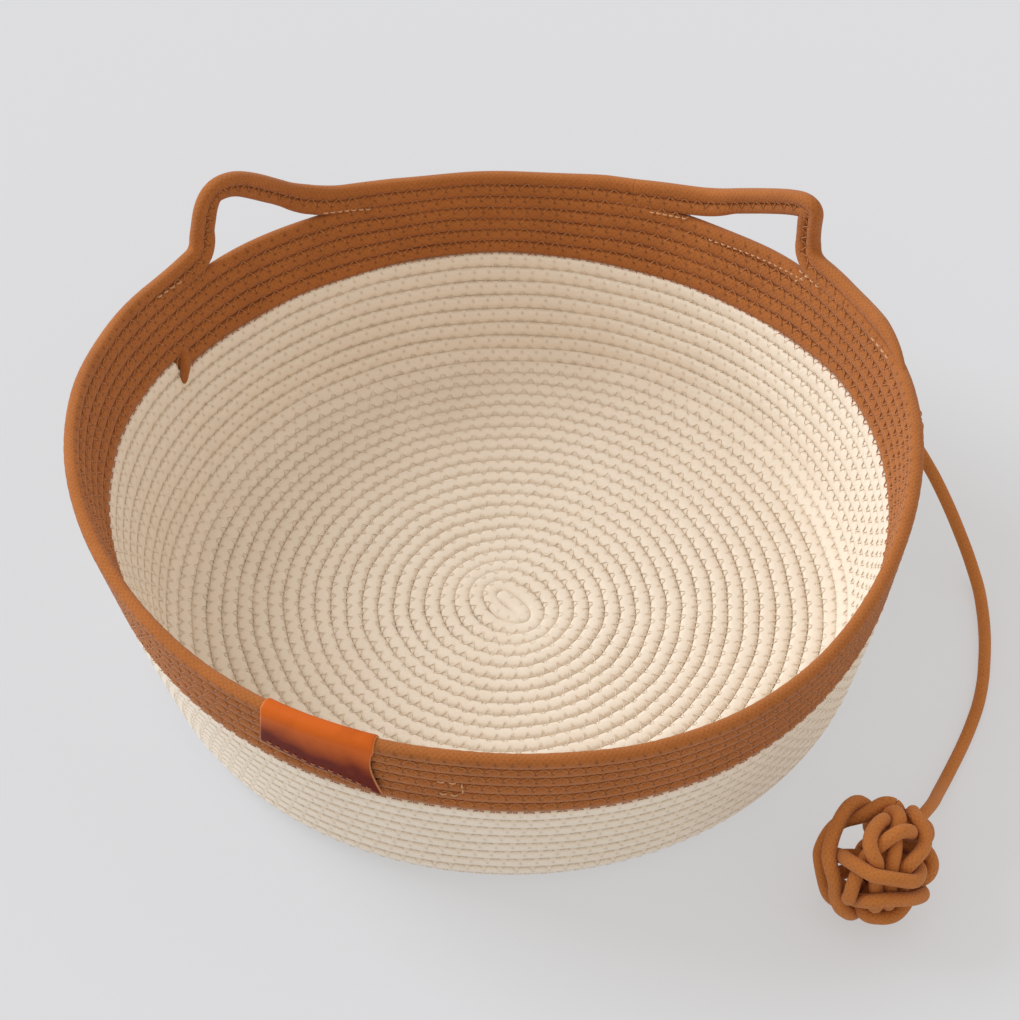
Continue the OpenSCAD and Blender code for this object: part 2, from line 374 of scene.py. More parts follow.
def groove_dents(outer, inner, sewn_out, sewn_in):
    """Needle holes on both faces, beside the groove outside and the one inside the rope."""
    return [(sewn_out, dent(outer, 0, LOW_HOLE)), (sewn_out, dent(outer, 0, -LOW_HOLE)),
            (sewn_in, dent(inner, 0.5, 180 - HIGH_HOLE)), (sewn_in, dent(inner, 0.5, 180 + HIGH_HOLE))]


def coil_piece(name, first, last, half_w, half_t, power, round_first=False, round_last=False):
    turns = even_turns(first, last, RING)
    angle = turn_angle(turns)
    w = bed_w(turns, angle)
    points, normals = on_bed(angle, w)
    share = np.ones(len(turns))
    s = arc_length(points)
    if round_first:
        share = np.minimum(share, round_end(s, half_t))
    if round_last:
        share = np.minimum(share, round_end(s[-1] - s, half_t))
    if half_w is None:
        half_w = brown_pitch(angle) / 2 + PRESS
    half_w = half_w * spread(angle, w)
    sewn_in = INNER_DEPTH * np.clip((turns - 1.3) * 4, 0, 1)
    dents = groove_dents(stitch_phase(turns), stitch_phase(turns - 1), 1.0, sewn_in)
    return rope_piece(name, points, normals, half_w, half_t, dents, share, length_at(first), power)


CREAM = (3.8, 3.5, 3.4)
BROWN_T = 3.4
BROWN = (None, BROWN_T, 2.6)
FIRST_TURN = 0.14            # where the rope's end lies, at the middle of the floor
floor_rope = coil_piece("floor_rope", FIRST_TURN, FLOOR_END, *CREAM, round_first=True)
wall_rope = coil_piece("wall_rope", FLOOR_END, SPLICE, *CREAM, round_last=True)
band_rope = coil_piece("band_rope", SPLICE, SPLICE + 5, *BROWN, round_first=True)

# ---------------------------------------------------------------- rim and ears

# Upper strand of the rim and ears: angle, and height above its own row
LEFT_EAR = [(149, 0), (145, -0.4), (142.3, -0.8), (140.3, -0.9), (138.6, -0.5), (137.7, 3.2),
            (137.1, 12.2), (136.5, 22), (135.5, 28.9), (134, 32.2), (132, 32), (129.7, 29),
            (126.7, 22), (123.5, 13.5), (120.5, 5.5), (117.5, 1), (114.5, -1.2), (111.5, -1.2),
            (107, -0.3), (103, 0)]
RIGHT_EAR = [(77, 0), (73, -0.5), (69, -0.9), (63, 0.8), (58.5, 4), (54.5, 10.2), (50.3, 17.5),
             (46, 25.3), (43.3, 29.4), (41.8, 30.2), (40.8, 29), (40.5, 25.2), (40.7, 16.7),
             (40.7, 6.3), (40.2, 0.3), (38.7, -1.8), (36.7, -1.3), (34, -0.7), (31, -0.6),
             (28, -0.3), (22, 0), (18, -1.3), (15, -3.4), (12, -5.8)]
RIM_R = 195.7
DEGREE = RIM_R * math.pi / 180
# The two strands of an ear are pulled tighter together than the rows of the band
EAR_PITCH, EAR_HALF_W = 6.4, 3.3
# Angles where the strands' pieces meet, and between which they stand clear of the rim
LEFT_FOOT, LEFT_MERGE, RIGHT_MERGE, RIGHT_FOOT, ROPE_END = 149, 110, 70, 31, 12
THREAD_END = 33          # where the thread between the strands ends
LEFT_OPENING, RIGHT_OPENING = (115.5, 139), (39.5, 62.5)
THIN_LENGTH = 11         # degrees over which the rope thins out before its end


def top_strands():
    """Middle lines (angle, w) of the upper strand, the thread line and the lower strand, from
    the splice, over both ears, to the rope's end, and the strands' half width."""
    line = spline(np.array(LEFT_EAR + RIGHT_EAR, float), 10)
    flat = even(np.stack([-line[:, 0] * DEGREE, line[:, 1]], -1), RING)
    tangent = unit(np.gradient(flat, axis=0))
    inward = np.stack([tangent[:, 1], -tangent[:, 0]], -1)
    free = np.clip(flat[:, 1] / 8, 0, 1)
    pitch = brown_pitch(-flat[:, 0] / DEGREE)
    strands = []
    for share in (0, 0.5, 1):
        moved = flat + (share * (pitch + (EAR_PITCH - pitch) * free))[:, None] * inward
        for _ in range(6):
            moved[1:-1] = (moved[:-2] + 2 * moved[1:-1] + moved[2:]) / 4
        angle = -moved[:, 0] / DEGREE
        strands.append((angle, bed_w(turn_at(6, angle), angle) + moved[:, 1]))
    half_w = pitch / 2 + PRESS + (EAR_HALF_W - pitch / 2 - PRESS) * free
    return (*strands, half_w * spread(*strands[1]))


upper, middle, lower, strand_half_w = top_strands()
strand_phase = arc_length(on_bed(*middle)[0]) / STITCH


def in_opening(angle):
    """1 where the strands stand clear of the rim, and 0 where they are sewn to it."""
    left, right = (np.clip(angle - first, 0, 1) * np.clip(last - angle, 0, 1)
                   for first, last in (LEFT_OPENING, RIGHT_OPENING))
    return np.maximum(left, right)


def strand_part(first, last):
    """Where, in the lists of the top strands, a stretch between two angles begins and ends."""
    ref = upper[0]
    return int(np.argmin(np.abs(ref - first))), int(np.argmin(np.abs(ref - last))) + 1


def strand_piece(name, strand, first, last, is_upper, share=None):
    """A length of the upper or lower strand, between two angles."""
    i, j = strand_part(first, last)
    angle, w = strand[0][i:j], strand[1][i:j]
    points, normals = on_bed(angle, w)
    phase = strand_phase[i:j]
    if is_upper:
        dents = groove_dents(phase, phase, 0.0, 1.0)
    else:
        sewn_in = INNER_DEPTH * (1 - in_opening(angle))
        dents = groove_dents(phase, stitch_phase(turn_at(5, angle) - 1), 1.0, sewn_in)
    return rope_piece(name, points, normals, strand_half_w[i:j], BROWN_T, dents,
                      None if share is None else share[i:j], strand_phase[i] * STITCH, 2.6)


# Before it ends, the rope thins out over a long stretch and sinks into the row under it
end_angle = upper[0]
thin_out = 0.3 + 0.7 * np.clip((end_angle - ROPE_END) / THIN_LENGTH, 0, 1) ** 0.8
left_outer = strand_piece("left_ear_outer_strand", upper, LEFT_FOOT, LEFT_MERGE, True)
back_upper = strand_piece("rim_back_upper_row", upper, LEFT_MERGE, RIGHT_MERGE, True)
right_outer = strand_piece("right_ear_outer_strand", upper, RIGHT_MERGE, ROPE_END, True, thin_out)
left_inner = strand_piece("left_ear_inner_strand", lower, LEFT_FOOT, LEFT_MERGE, False)
back_lower = strand_piece("rim_back_lower_row", lower, LEFT_MERGE, RIGHT_MERGE, False)
right_inner = strand_piece("right_ear_inner_strand", lower, RIGHT_MERGE, RIGHT_FOOT, False)
rim_front = coil_piece("rim_front_row_rope", turn_at(5, RIGHT_FOOT), SPLICE + 6, *BROWN)


def start_tail():
    """The brown rope's thin start, tucked down over the cream rows inside the bed."""
    places = [(146.6, 231.5, 0.0), (147.2, 229.3, 2.2), (148.2, 225.5, 4.1), (149.2, 221.5, 4.2),
              (149.75, 218.0, 3.7)]
    line = spline([p + inward * n for (a, w, inward) in places
                   for p, n in [on_bed(np.array(float(a)), np.array(float(w)))]], 8)
    thick = np.interp(np.linspace(0, 1, len(line)), [0, 0.55, 0.9, 1], [1, 0.85, 0.55, 0.25])
    return rope_tube("band_start_tail_rope", line, 3.1, 12, thick)


tail = start_tail()

# ---------------------------------------------------------------- sewing thread

THREAD_R = 0.27
TACK_R = 0.4
TACK_HEIGHT = 3.35       # from the rope's middle to the tacks that lie on it
# Under a zigzag: half thickness of the rope, and how far the thread reaches to each side
CREAM_SEWN, BAND_SEWN, EAR_SEWN = (3.45, 2.0), (3.3, 1.7), (3.35, 1.7)


def thread_mesh(name, lines, radius, sides=6):
    """One object of many thin closed tubes: each is its points and the way up at each point."""
    v = 2 * np.pi * np.arange(sides) / sides
    verts, quads, uvs, count = [], [], [], 0
    for line, up in lines:
        go = unit(np.gradient(line, axis=0))
        side = unit(np.cross(go, up))
        top = np.cross(go, side)
        ring = np.cos(v)[None, :, None] * side[:, None] + np.sin(v)[None, :, None] * top[:, None]
        verts.append((line[:, None] + radius * ring).reshape(-1, 3))
        quads.append(tube_quads(len(line), sides) + count)
        uvs.append(tube_uv(arc_length(line), sides))
        count += len(line) * sides
    return mesh_object(name, np.concatenate(verts), np.concatenate(quads), np.concatenate(uvs))


def sewn_runs(phase, sewn):
    """Unbroken runs of the zigzag: place along, across and height of each of their points."""
    # one half stitch, as (share of its length, place across, height)
    form = [(0.0, -1.0, 0.42), (0.14, -0.92, 0.98), (0.5, 0.0, 0.76), (0.86, 0.92, 0.98)]
    runs, run = [], []
    for half in range(math.ceil(phase[0] * 2), math.floor(phase[-1] * 2)):
        if sewn is not None and np.interp(half / 2, phase, sewn) < 0.5:
            runs.append(run)
            run = []
            continue
        side = 1 if half % 2 == 0 else -1
        run += [((half + share) / 2, side * place, height) for share, place, height in form]
    return [run for run in runs + [run] if len(run) > 2]


def zigzag(name, points, normals, phase, half_t, reach, sewn=None):
    """Thread that crosses a groove from needle hole to needle hole, on both faces."""
    tangent = unit(np.gradient(points, axis=0))
    across = unit(np.cross(normals, tangent))
    up = np.cross(tangent, across)
    lines = []
    for face in (1, -1):
        for run in sewn_runs(phase, sewn):
            at, place, height = (np.array(c) for c in zip(*run))
            jitter = 1 + 0.10 * rng.standard_normal(len(at))
            p, a, u = (np.stack([np.interp(at, phase, field[:, i]) for i in range(3)], -1)
                       for field in (points, across, up))
            line = (p + (place * jitter * reach)[:, None] * a
                    + face * (height * half_t + 0.05)[:, None] * u)
            lines.append((line, u))
    return thread_mesh(name, lines, THREAD_R)


def groove_thread(name, first, last, half_t, reach, sewn=None):
    turns = even_turns(first, last, 1.5)
    angle = turn_angle(turns)
    points, normals = on_bed(angle, bed_w(turns + 0.5, angle))
    mask = None if sewn is None else sewn(turns)
    return zigzag(name, points, normals, stitch_phase(turns), half_t, reach, mask)


def band_sewn(turns):
    """The groove under the ear strands is open where they stand clear of it."""
    angle = turn_angle(turns) % 360
    return np.where(turns > SPLICE + 4, 1 - in_opening(angle), 1.0)


def strand_thread(name, first, last):
    i, j = strand_part(first, last)
    points, normals = on_bed(*middle)
    return zigzag(name, points[i:j], normals[i:j], strand_phase[i:j], *EAR_SEWN)


floor_thread = groove_thread("floor_stitches", 0.9, FLOOR_END - 0.5, *CREAM_SEWN)
wall_thread = groove_thread("wall_stitches", FLOOR_END - 0.5, SPLICE - 1, *CREAM_SEWN)
band_thread = groove_thread("band_stitches", SPLICE - 1, SPLICE + 5, *BAND_SEWN, band_sewn)
left_thread = strand_thread("left_ear_stitches", LEFT_FOOT, LEFT_MERGE)
back_thread = strand_thread("rim_back_stitches", LEFT_MERGE, RIGHT_MERGE)
right_thread = strand_thread("right_ear_stitches", RIGHT_MERGE, THREAD_END)


def stitch(start, end, height, arch=0.45):
    """A single stitch between two needle holes (angle, w), at a height inward from the rope's
    middle: below 0 it lies on the outside."""
    share = np.linspace(0, 1, 7)
    angle = start[0] + (end[0] - start[0]) * share
    w = start[1] + (end[1] - start[1]) * share
    p, n = on_bed(angle, w)
    over = height + math.copysign(1, height) * arch * (np.sin(np.pi * share) ** 0.5 * 2 - 1.4)
    return p + over[:, None] * n, n


def dashes(start, end, count, height, fill=0.62):
    """Stitches in a row from one place (angle, w) to another."""
    start, end = np.array(start, float), np.array(end, float)
    step = (end - start) / count
    return [stitch(start + i * step, start + (i + fill) * step, height) for i in range(count)]


def foot_tacks():
    """Stitches that hold the feet of the ears and the rope's end to the band."""
    lines = dashes((148, 262.8), (142.5, 261.5), 4, TACK_HEIGHT)
    lines += dashes((41.2, 262.5), (36.5, 260.3), 4, TACK_HEIGHT)
    lines += dashes((41.6, 255.6), (39.2, 263.5), 3, TACK_HEIGHT)
    lines += dashes((57.5, 255.6), (39.5, 259), 17, TACK_HEIGHT, 0.5)
    lines += dashes((22.8, 261), (16.5, 262.2), 4, TACK_HEIGHT)
    lines += dashes((-98, 250), (-95, 250), 2, -TACK_HEIGHT)
    lines += dashes((-98, 240), (-95, 240), 2, -TACK_HEIGHT)
    lines += dashes((-94.8, 249), (-94.8, 241), 2, -TACK_HEIGHT)
    return thread_mesh("ear_foot_tack_stitches", lines, TACK_R)


def merge_tacks():
    """Stitches where the inner ends of the ears run into the rim."""
    lines = dashes((117.3, 262.4), (109.7, 256.9), 7, TACK_HEIGHT)
    lines += dashes((67.2, 259.4), (61.2, 262), 6, TACK_HEIGHT)
    return thread_mesh("ear_merge_tack_stitches", lines, TACK_R)


foot_tack_thread = foot_tacks()
merge_tack_thread = merge_tacks()

# ---------------------------------------------------------------- leather tab

TAB_T = 1.6              # leather thickness
TAB_REACH = BROWN_T + 0.55       # from the top row's middle to the leather's middle
TAB_LENGTH = 57.0        # along the rim
TAB_RINGS = 72
OUTER_POINTS, FOLD_POINTS, INNER_POINTS = 14, 13, 8      # of the tab's outline, leg by leg
TAB_INNER = 29.0         # how far the leather hangs down inside


def tab_edge_angle(t, down):
    """Angle of a place on the tab: t runs from the left edge to the right one, and down from
    the fold to the lower edge."""
    left = -122.3 - 1.7 * down
    right = -105.9 + 0.15 * down - 0.9 * np.sin(np.pi * down ** 0.8)
    return left + (right - left) * t


def tab_low(t):
    """Place w of the outer leg's lower edge."""
    return 242 - 2 * t - 6 * t**2 + 0.5 * np.sin(11 * t) + 0.3 * np.sin(23 * t + 1)


def tab_profile(t):
    """Middle line of the leather at one place along it: (share down, place up, place inward,
    how far off the rim it stands), from the outer leg's lower edge to the inner leg's."""
    top_w = bed_w(turn_at(5, tab_edge_angle(t, 0)), tab_edge_angle(t, 0))
    drop = top_w - tab_low(t)
    leg = np.linspace(1, 0, OUTER_POINTS + 1)[:-1]
    arc = np.linspace(np.pi, 0, FOLD_POINTS)
    inner = np.linspace(0, 1, INNER_POINTS + 1)[1:]
    up = np.concatenate([-leg * drop, TAB_REACH * np.sin(arc), -inner * TAB_INNER])
    into = np.concatenate([-TAB_REACH * np.ones(OUTER_POINTS), TAB_REACH * np.cos(arc),
                           TAB_REACH * np.ones(INNER_POINTS)])
    near_right = np.exp(-((1 - t) * 17 / 6) ** 2)
    stand_off = np.concatenate([-leg ** 0.7 * (0.8 + 1.4 * near_right), np.zeros(FOLD_POINTS),
                                0.5 * inner])
    down = np.concatenate([leg, np.zeros(FOLD_POINTS), inner * 0.9])
    return top_w, up, into + stand_off, down


def tab_frame(angle, top_w):
    """The top row's middle, the way up the wall and the way inward, at an angle."""
    p, n = on_bed(angle, top_w)
    below = on_bed(angle, top_w - 8)[0]
    u = unit(p - below)
    return p, u, unit(n - (n * u).sum(-1, keepdims=True) * u)


def leather_piece():
    """One strip of leather, folded over the rim and swept from its left edge to its right."""
    rings, edges, lows = [], [], []
    for i in range(TAB_RINGS):
        t = i / (TAB_RINGS - 1)
        top_w, up, into, down = tab_profile(t)
        angle = tab_edge_angle(t, down)
        p, u, n = tab_frame(angle, np.full(len(up), top_w))
        line = p + up[:, None] * u + into[:, None] * n
        flat = unit(np.gradient(np.stack([up, into], -1), axis=0))
        out = -flat[:, 1:] * u + flat[:, :1] * n
        end = min(i, TAB_RINGS - 1 - i)
        thin = TAB_T / 2 * (0.72 if end == 0 else 1.0)
        tip = np.ones(len(up))
        tip[[0, -1]] = 0.7
        shift = thin * tip[:, None] * out
        rings.append(np.concatenate([line + shift, (line - shift)[::-1]]))
        raw = np.zeros(len(up))
        raw[[0, -1]] = 1
        # how far down the leather each point lies, which the material uses for painted shade
        lows.append(np.concatenate([down, down[::-1]]))
        edges.append(np.maximum(np.concatenate([raw, raw[::-1]]), 1.0 if end == 0 else 0.0))
    sides = len(rings[0])
    along = np.linspace(0, TAB_LENGTH, TAB_RINGS)
    return mesh_object("leather_tab_fold", np.concatenate(rings), tube_quads(TAB_RINGS, sides),
                       tube_uv(along, sides), {"edge": np.array(edges), "low": np.array(lows)})


def tab_stitches():
    """A row of stitches along the tab's lower edge, through the leather and the band."""
    count, length, inset = 12, 2.8, 3.0
    leg_points = np.arange(OUTER_POINTS)
    lines = []
    for k in range(count):
        t = 0.5 + 0.9 * ((k + 0.5) / count - 0.5)
        share = np.linspace(-0.5, 0.5, 7)
        places = []
        for s in share:
            spot = t + s * length / TAB_LENGTH
            top_w, up, into, down = tab_profile(spot)
            low = up[0] + inset
            at = np.interp(low, up[:OUTER_POINTS], leg_points)
            off = float(np.interp(at, leg_points, into[:OUTER_POINTS]))
            fall = float(np.interp(at, leg_points, down[:OUTER_POINTS]))
            p, u, n = tab_frame(np.array([tab_edge_angle(spot, fall)]), np.array([top_w]))
            rise = TAB_T / 2 + 0.5 * (np.cos(np.pi * s) ** 0.5 * 2 - 1.4) - 0.1
            places.append((p + low * u + (off - rise) * n)[0])
        places = np.array(places)
        lines.append((places, np.tile(n, (len(places), 1))))
    return thread_mesh("tab_stitch_row", lines, 0.36)


tab = leather_piece()
tab_thread = tab_stitches()

# ---------------------------------------------------------------- hanger, knot and rope ball


def hanger_thread():
    """A cord loop from the wall round the toy's cord and back, two turns."""
    hook = np.array(CORD_ROUTE[1]) / MM
    out = unit(hook * [1, 1, 0])
    side = np.cross([0, 0, 1.0], out)
    reach = np.linalg.norm(hook[:2])
    places = []
    for level in (-1.3, 1.3):
        places += [(186.0, -2.6, level), (190.0, -4.0, level), (reach - 1.5, -4.5, level),
                   (reach + 3.0, -3.4, level), (reach + 4.5, 0, level), (reach + 3.0, 3.4, level),
                   (reach - 1.5, 4.5, level), (190.0, 4.0, level), (186.0, 2.4, level * 0.5)]
    line = [r * out + s * side + [0, 0, hook[2] + z] for r, s, z in places]
    return rope_tube("hanger_loop_cord", even(spline(line, 8), 0.8), 1.25, 10)


def stopper_knot():
    """The knot in the cord's end, above the loop that it hangs in."""
    middle_of_knot = np.array(CORD_ROUTE[0]) / MM + [0, 0, 1.6]
    t = np.linspace(0, 2 * np.pi, 120)
    wide = 2.2 + 1.0 * np.cos(3 * t)
    line = np.stack([wide * np.cos(2 * t), wide * np.sin(2 * t), 1.6 * np.sin(3 * t)], -1)
    return rope_tube("stopper_knot_cord", middle_of_knot + line, 1.8, 12)


BALL = np.array([166.0, -180.5, 30.8])
BALL_TUBE = 3.4
BALL_SHELL = 24.2        # from the ball's middle to a strand's, where strands don't cross
BALL_LIFT = 2.7          # how far a strand rises over another
BALL_NEAREST, BALL_FARTHEST = 13.5, 27.3     # a strand's limits from the ball's middle
# The ball seen from the front and above: ways to the right, up and toward the viewer
BALL_TOWARD = unit(np.array([-0.071, -0.623, 0.779]))
BALL_RIGHT = unit(np.cross([0, 0, 1.0], BALL_TOWARD))
BALL_UP = np.cross(BALL_TOWARD, BALL_RIGHT)
# Strands of the ball, by (right, up, side, level): side is 1 in front, -1 behind and 0 on the
# outline, and level is 1 where a strand passes over another and -1 where it passes under
BALL_STRANDS = [
    [(-16, 0, 1, -1), (-12, -2, 1, .3), (-5, -5, 1, 1), (4, -7.5, 1, 1), (13, -8.3, 1, 1),
     (21, -7, 1, .2), (24, 0, -1, 0), (17, 0, -1, 0), (4, -2, -1, 0), (-10, -2, -1, 0),
     (-21, 0, -1, 0)],
    [(-1, -19, 1, 0), (4, -16.5, 1, 1), (9, -17.5, 1, .2), (14, -16.5, 1, 1), (19.5, -15, 1, 0),
     (20, -8, -1, 0), (8, -4, -1, 0), (-8, -6, -1, 0), (-20, -10, -1, 0), (-20, -14, 1, -1),
     (-10, -20, 1, -1)],
    [(2, -12.5, 1, 0), (2, -7, 1, -1), (1.5, -2, 1, 0), (-2.5, 3.5, 1, 1), (-4.2, 10, 1, 1),
     (-0.5, 15.5, 1, .8), (6, 19, 1, -.5), (14, 19.5, 1, -1), (20, 14, -1, 0), (18, 0, -1, 0),
     (12, -14, -1, 0), (5, -22, -1, 0), (3, -22, 1, 0)],
    [(17, 15, 1, 0), (11.5, 13.8, 1, 1), (6, 10.5, 1, 1), (2.5, 6, 1, .2), (-2, 1, 1, -1),
     (-6.5, -3, 1, -1), (-9, -8, 1, 0), (-8.6, -14.5, 1, 1), (-8, -21.5, 1, .7),
     (-6, -10, -1, 0), (0, 5, -1, 0), (8, 17, -1, 0), (17, 17, -1, 0)],
    [(9, 17, 1, -1), (9.5, 11, 1, -1), (9.8, 5, 1, -.6), (10.3, -2, 1, -.6), (10, -8, 1, -1),
     (8.5, -17, 1, -1), (8, -24, 0, 0), (4, -14, -1, 1), (5, 0, -1, 1), (9, 14, -1, 0),
     (10, 23, 0, 0)],
    [(14.5, -1.5, 1, .5), (20.5, 3.5, 1, 1), (23.5, 9, 1, .7), (20.5, 14.5, 1, 1),
     (15, 18.5, 1, -.8), (10, 20, -1, 0), (12, 5, -1, 0), (10, -10, -1, 0), (11, -21, 1, -.5),
     (12.5, -13, 1, -1), (12.5, -6, 1, -1)],
    [(-13, 21.5, 1, .2), (-17.5, 15.5, 1, .6), (-19.5, 8, 1, .3), (-20.5, 1, 1, 1),
     (-18.8, -7, 1, 1), (-15, -14.5, 1, .6), (-12, -21, 1, 0), (-6, -24, -1, 0),
     (-3, -12, -1, 0), (0, 3, -1, 0), (0, 16, -1, 0), (-6, 24, -1, 0)],
    [(10, 24, 0, 0), (-3, 25.5, 0, 0), (-14, 21, 0, 0), (-22, 16, 0, 0), (-26, 8, 0, 0),
     (-24, 1, 0, 0), (-26, -7, 0, 0), (-21, -16, 0, 0), (-12, -23, 0, 0), (2, -26, 0, 0),
     (15, -21, 0, 0), (22.5, -15, 0, 0), (26.5, -7, 0, 0), (24, 1, 0, 0), (26.5, 9, 0, 0),
     (21, 17, 0, 0)]]


def ball_strand(strand):
    """A closed strand's middle line round the ball's centre, with points 2.5 mm apart."""
    line = []
    for right, up, side, level in strand:
        shell = BALL_SHELL + BALL_LIFT * level
        flat = right * BALL_RIGHT + up * BALL_UP
        deep = side * math.sqrt(max(shell**2 - right**2 - up**2, 0))
        place = flat + deep * BALL_TOWARD
        line.append(shell * unit(place) if side == 0 else place)
    hidden = int(np.argmin([p @ BALL_TOWARD for p in line]))
    line = line[hidden:] + line[:hidden]
    closed = spline(line[-2:] + line + line[:3], 8)[16:-16]
    return even(closed, 2.5)


def relaxed(strands):
    """Strands pushed apart where they are closer than their thickness, and kept in the ball."""
    owner = np.concatenate([np.full(len(s), i) for i, s in enumerate(strands)])
    place = np.concatenate([np.arange(len(s)) for s in strands])
    lengths = np.array([len(s) for s in strands])[owner]
    p = np.concatenate(strands)
    apart = np.abs(place[:, None] - place[None])
    apart = np.minimum(apart, lengths[:, None] - 1 - apart)
    other = (owner[:, None] != owner[None]) | (apart > 5)
    before = np.where(place == 0, np.arange(len(p)) + lengths - 2, np.arange(len(p)) - 1)
    after = np.where(place == lengths - 1, np.arange(len(p)) - lengths + 2, np.arange(len(p)) + 1)
    for _ in range(70):
        gap = p[:, None] - p[None]
        far = np.linalg.norm(gap, axis=-1) + 1e-6
        push = np.where(other, np.clip(2 * BALL_TUBE - 0.1 - far, 0, None), 0)
        move = (push / far)[..., None] * gap
        p = p + 0.22 * move.sum(1)
        p = p + 0.12 * ((p[before] + p[after]) / 2 - p)
        r = np.linalg.norm(p, axis=1, keepdims=True)
        p = p * np.clip(r, BALL_NEAREST, BALL_FARTHEST) / r
    return [p[owner == i] for i in range(len(strands))]


def rope_ball():
    """The knotted ball, as closed strands that pass over and under each other."""
    pieces = []
    for i, line in enumerate(relaxed([ball_strand(s) for s in BALL_STRANDS])):
        line[-1] = line[0]
        ring = np.vstack([line[-3:-1], line, line[1:3]])
        smooth = even(spline(ring, 4)[8:-8], 0.9) + BALL
        pieces.append(rope_tube(f"toy_ball_strand_{i + 1}", smooth, BALL_TUBE, 16,
                                np.ones(len(smooth)), 40.0 * i))
    return pieces


hanger = hanger_thread()
knot = stopper_knot()
ball_pieces = rope_ball()

# ---------------------------------------------------------------- materials


def material(name, base, build):
    made = bpy.data.materials.new(name)
    made.use_nodes = True
    tree = made.node_tree
    shader = tree.nodes["Principled BSDF"]
    shader.inputs["Base Color"].default_value = (*base, 1)
    build(tree, shader)
    return made


def node(tree, kind, **values):
    made = tree.nodes.new(kind)
    for key, value in values.items():
        if key in made.inputs:
            made.inputs[key].default_value = value
        else:
            setattr(made, key, value)
    return made


def link(tree, a, b):
    tree.links.new(a, b)


def math_node(tree, operation, a, b=None, c=None):
    made = tree.nodes.new("ShaderNodeMath")
    made.operation = operation
    for socket, value in zip(made.inputs, (a, b, c)):
        if value is None:
            continue
        if isinstance(value, (int, float)):
            socket.default_value = value
        else:
            tree.links.new(value, socket)
    return made.outputs[0]


def mixed(tree, share, a, b):
    """A colour between two: each is a colour or a socket."""
    made = node(tree, "ShaderNodeMix", data_type="RGBA")
    for key, value in (("A", a), ("B", b)):
        if isinstance(value, tuple):
            made.inputs[key].default_value = (*value, 1)
        else:
            link(tree, value, made.inputs[key])
    link(tree, share, made.inputs["Factor"])
    return made.outputs["Result"]


def noise(tree, scale, detail=2.0):
    coords = node(tree, "ShaderNodeTexCoord")
    made = node(tree, "ShaderNodeTexNoise", Scale=scale, Detail=detail)
    link(tree, coords.outputs["Object"], made.inputs["Vector"])
    return made.outputs["Fac"]


def bumped(tree, shader, height, strength, distance):
    bump = node(tree, "ShaderNodeBump", Strength=strength, Distance=distance)
    link(tree, height, bump.inputs["Height"])
    link(tree, bump.outputs["Normal"], shader.inputs["Normal"])


def braid(tree, plait_mm, strands):
    """Height of a braid: two sets of strands that cross, from place along and round the rope."""
    uv = node(tree, "ShaderNodeUVMap", uv_map="rope")
    split = node(tree, "ShaderNodeSeparateXYZ")
    link(tree, uv.outputs[0], split.inputs[0])
    along = math_node(tree, "MULTIPLY", split.outputs["X"], 2 * math.pi / plait_mm)
    round_ = math_node(tree, "MULTIPLY", split.outputs["Y"], 2 * math.pi * strands)
    one = math_node(tree, "SINE", math_node(tree, "ADD", along, round_))
    two = math_node(tree, "SINE", math_node(tree, "SUBTRACT", along, round_))
    return math_node(tree, "MAXIMUM", one, two)


def rope_material(name, dark, light, deep, sheen, braid_tone, relief):
    """Braided cotton: plaits, slow blotches, fine fibres, and painted shade in the needle holes."""
    def build(tree, shader):
        height = braid(tree, 2.6, 8)
        fibre = noise(tree, 900.0, 4.0)
        tone = math_node(tree, "MULTIPLY_ADD", height, braid_tone, 0.18)
        tone = math_node(tree, "ADD", tone, math_node(tree, "MULTIPLY", noise(tree, 38.0, 3.0), 0.35))
        tone = math_node(tree, "ADD", tone, math_node(tree, "MULTIPLY", fibre, 0.5))
        # painted shade: the deep colour darkens the rope where the needle holes pull it in
        sunk = node(tree, "ShaderNodeAttribute", attribute_name="sunk")
        hole = math_node(tree, "POWER", sunk.outputs["Fac"], 2.5)
        link(tree, mixed(tree, hole, mixed(tree, tone, dark, light), deep), shader.inputs["Base Color"])
        bumped(tree, shader, math_node(tree, "ADD", height, math_node(tree, "MULTIPLY", fibre, 2.4)),
               relief, 0.0004)
        shader.inputs["Roughness"].default_value = 0.88
        shader.inputs["Specular IOR Level"].default_value = 0.2
        shader.inputs["Sheen Weight"].default_value = sheen
        shader.inputs["Sheen Roughness"].default_value = 0.5
    return material(name, light, build)


def thread_material(name, color):
    """Twisted sewing thread."""
    def build(tree, shader):
        uv = node(tree, "ShaderNodeUVMap", uv_map="rope")
        wave = node(tree, "ShaderNodeTexWave", Scale=0.5, Distortion=0.5)
        link(tree, uv.outputs[0], wave.inputs["Vector"])
        bumped(tree, shader, wave.outputs["Fac"], 0.3, 0.00002)
        dark = tuple(0.8 * c for c in color)
        light = tuple(min(1, 1.15 * c) for c in color)
        link(tree, mixed(tree, wave.outputs["Fac"], dark, light), shader.inputs["Base Color"])
        shader.inputs["Roughness"].default_value = 0.6
        shader.inputs["Sheen Weight"].default_value = 0.1
    return material(name, color, build)


